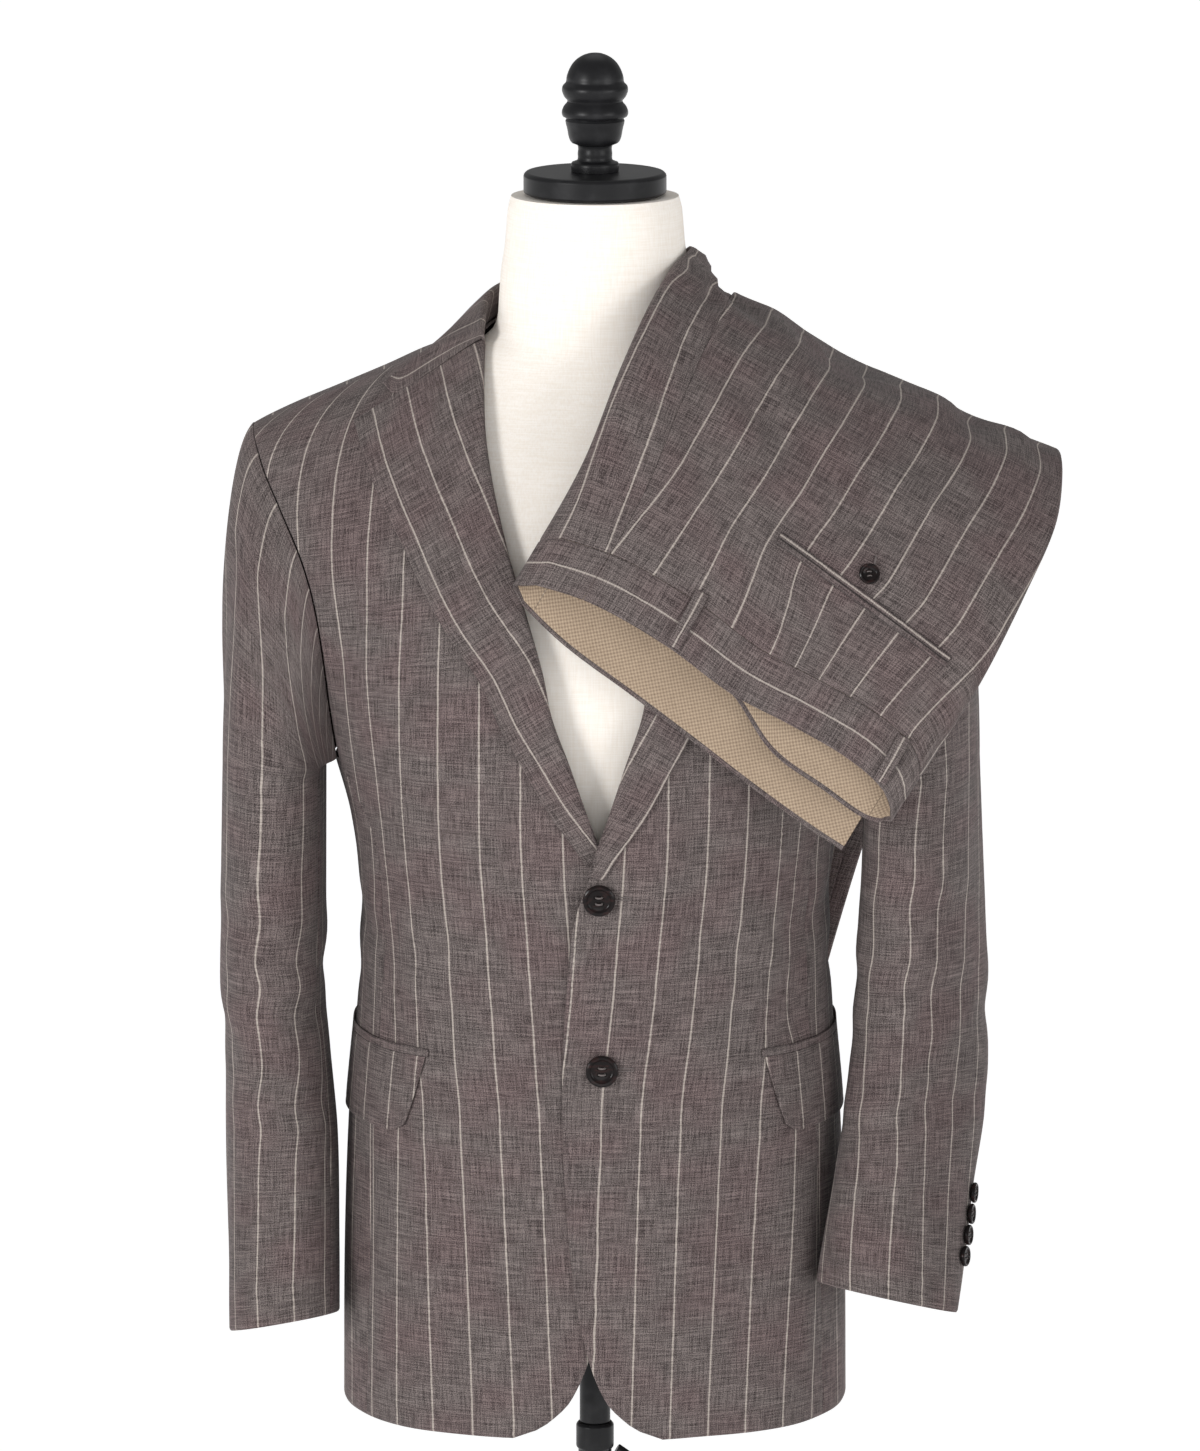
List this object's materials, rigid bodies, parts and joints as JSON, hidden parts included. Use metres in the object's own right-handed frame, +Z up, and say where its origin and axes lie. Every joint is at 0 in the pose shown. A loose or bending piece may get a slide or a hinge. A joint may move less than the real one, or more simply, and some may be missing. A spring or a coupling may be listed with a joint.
{
  "type": "suit on a dress form",
  "caption": "Striped suit on a stand: a buttoned jacket worn by a limbless dress form, with its trousers folded flat over one shoulder.",
  "frame": {"origin": "centre of the stand's base on the floor", "axes": "+Z up the pole, -Y out of the suit's front, +X to the wearer's left"},
  "size_m": [0.5874, 0.38, 1.623],
  "materials": {
    "suit_cloth": "matt taupe-grey worsted with cream chalk stripes",
    "curtain_cloth": "matt beige basket-weave cotton",
    "button_horn": "polished black-brown",
    "form_linen": "matt cream linen",
    "form_black": "satin black"
  },
  "bodies": {
    "root": {"jacket_front_left": "suit_cloth", "jacket_front_right": "suit_cloth", "jacket_side_left": "suit_cloth", "jacket_side_right": "suit_cloth", "jacket_back_left": "suit_cloth", "jacket_back_right": "suit_cloth", "lapel_left": "suit_cloth", "lapel_right": "suit_cloth", "collar": "suit_cloth", "sleeve_top_left": "suit_cloth", "sleeve_under_left": "suit_cloth", "sleeve_top_right": "suit_cloth", "sleeve_under_right": "suit_cloth", "pocket_flap_left": "suit_cloth", "pocket_flap_right": "suit_cloth", "pocket_jet_left": "suit_cloth", "pocket_jet_right": "suit_cloth", "trouser_back_left": "suit_cloth", "trouser_front_left": "suit_cloth", "trouser_back_right": "suit_cloth", "trouser_front_right": "suit_cloth", "waistband_back_left": "suit_cloth", "waistband_front_left": "suit_cloth", "waistband_back_right": "suit_cloth", "waistband_front_right": "suit_cloth", "belt_loop_1": "suit_cloth", "belt_loop_2": "suit_cloth", "back_pocket_jet_upper": "suit_cloth", "back_pocket_jet_lower": "suit_cloth", "curtain_back_left": "curtain_cloth", "curtain_front_left": "curtain_cloth", "curtain_back_right": "curtain_cloth", "curtain_front_right": "curtain_cloth", "front_button_1": "button_horn", "front_button_2": "button_horn", "back_pocket_button": "button_horn", "cuff_button_left_1": "button_horn", "cuff_button_left_2": "button_horn", "cuff_button_left_3": "button_horn", "cuff_button_left_4": "button_horn", "cuff_button_right_1": "button_horn", "cuff_button_right_2": "button_horn", "cuff_button_right_3": "button_horn", "cuff_button_right_4": "button_horn", "form_torso": "form_linen", "form_neck_disc": "form_black", "form_finial": "form_black", "form_pole": "form_black", "form_tube": "form_black", "form_base": "form_black", "form_lever": "form_black"}
  },
  "joints": []
}
